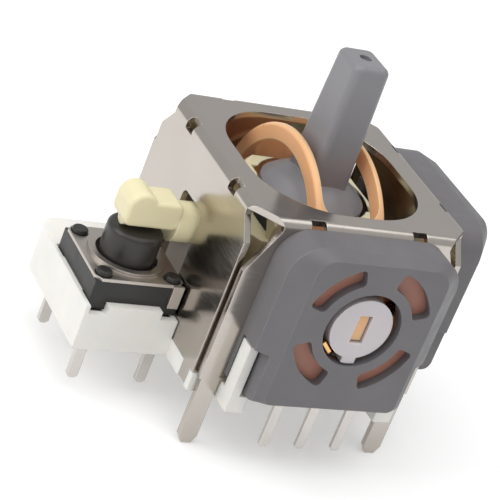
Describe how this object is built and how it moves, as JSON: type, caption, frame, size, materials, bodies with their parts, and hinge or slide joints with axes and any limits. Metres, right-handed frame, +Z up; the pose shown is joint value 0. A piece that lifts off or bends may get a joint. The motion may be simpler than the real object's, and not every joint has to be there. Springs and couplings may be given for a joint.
{
  "type": "controller analog stick",
  "caption": "Thumb stick module for a circuit board: tilting stem in a steel cage, rotary potentiometers on the sides and a push switch under a lever.",
  "frame": {"origin": "on the stick's axis, in the plane where the moulded base sits on the circuit board", "axes": "+Z up along the stick, the potentiometers at -Y (front) and +X (right), the push switch at -X (left)"},
  "size_m": [0.0241, 0.0179, 0.023],
  "materials": {
    "plated_steel": "bright cold rolled steel with a soft mirror gloss",
    "base_plastic": "near white moulding, lightly textured",
    "stick_plastic": "mid grey moulding, fine satin texture",
    "pin_steel": "drawn wire, satin",
    "arch_plastic": "translucent amber moulding, semi gloss",
    "lever_plastic": "cream moulding, satin",
    "housing_plastic": "dark grey moulding, fine satin texture",
    "resistor_board": "red brown laminate",
    "rotor_plastic": "white moulding, satin",
    "wiper_brass": "bright stamped strip",
    "tinned_pins": "tin plated, satin",
    "switch_plastic": "black moulding, satin",
    "cover_steel": "stamped steel, satin",
    "plunger_plastic": "dark brown black moulding, satin",
    "spring_steel": "drawn spring wire"
  },
  "bodies": {
    "housing": {"frame": "plated_steel", "base": "base_plastic", "front_pot_housing": "housing_plastic", "front_pot_board": "resistor_board", "front_pot_terminals": "tinned_pins", "right_pot_housing": "housing_plastic", "right_pot_board": "resistor_board", "right_pot_terminals": "tinned_pins", "switch_body": "switch_plastic", "switch_cover": "cover_steel", "switch_terminals": "tinned_pins", "return_spring": "spring_steel", "switch_dome": "spring_steel"},
    "fore_aft_rotor": {"right_pot_rotor": "rotor_plastic", "right_pot_wiper": "wiper_brass"},
    "lower_yoke_body": {"lower_yoke": "lever_plastic", "pivot_pin": "pin_steel"},
    "stick_body": {"stick": "stick_plastic"},
    "upper_yoke_body": {"upper_yoke": "arch_plastic", "front_pot_rotor": "rotor_plastic", "front_pot_wiper": "wiper_brass"},
    "plunger_body": {"switch_plunger": "plunger_plastic"},
    "return_plate_body": {"return_plate": "base_plastic"}
  },
  "joints": [
    {"name": "stick_fore_aft", "type": "hinge", "parent": "housing", "child": "fore_aft_rotor", "pos_m": [0, 0, 0.0073], "axis": [1, 0, 0], "range_deg": [-20, 20], "stiffness_Nm_per_rad": 0.02},
    {"name": "stick_press", "type": "hinge", "parent": "fore_aft_rotor", "child": "lower_yoke_body", "pos_m": [0.0083, 0, 0.0073], "axis": [0, -1, 0], "range_deg": [0, 1.2], "stiffness_Nm_per_rad": 1.5},
    {"name": "stick_side", "type": "hinge", "parent": "lower_yoke_body", "child": "stick_body", "pos_m": [0, 0, 0.0073], "axis": [0, 1, 0], "range_deg": [-20, 20], "stiffness_Nm_per_rad": 0.02},
    {"name": "upper_yoke_turn", "type": "hinge", "parent": "housing", "child": "upper_yoke_body", "pos_m": [0, 0, 0.0073], "axis": [0, 1, 0], "range_deg": [-20, 20]},
    {"name": "plunger_slide", "type": "slide", "parent": "housing", "child": "plunger_body", "axis": [0, 0, -1], "range_m": [0, 0.0004], "deforming": ["switch_dome"]},
    {"name": "return_plate_slide", "type": "slide", "parent": "housing", "child": "return_plate_body", "axis": [0, 0, -1], "range_m": [0, 0.00018], "deforming": ["return_spring"]}
  ],
  "couplings": [
    {"joint": "upper_yoke_turn", "follows": "stick_side", "ratio": 1},
    {"joint": "plunger_slide", "follows": "stick_press", "m_per_rad": 0.0188},
    {"joint": "return_plate_slide", "follows": "stick_press", "m_per_rad": 0.0083}
  ]
}
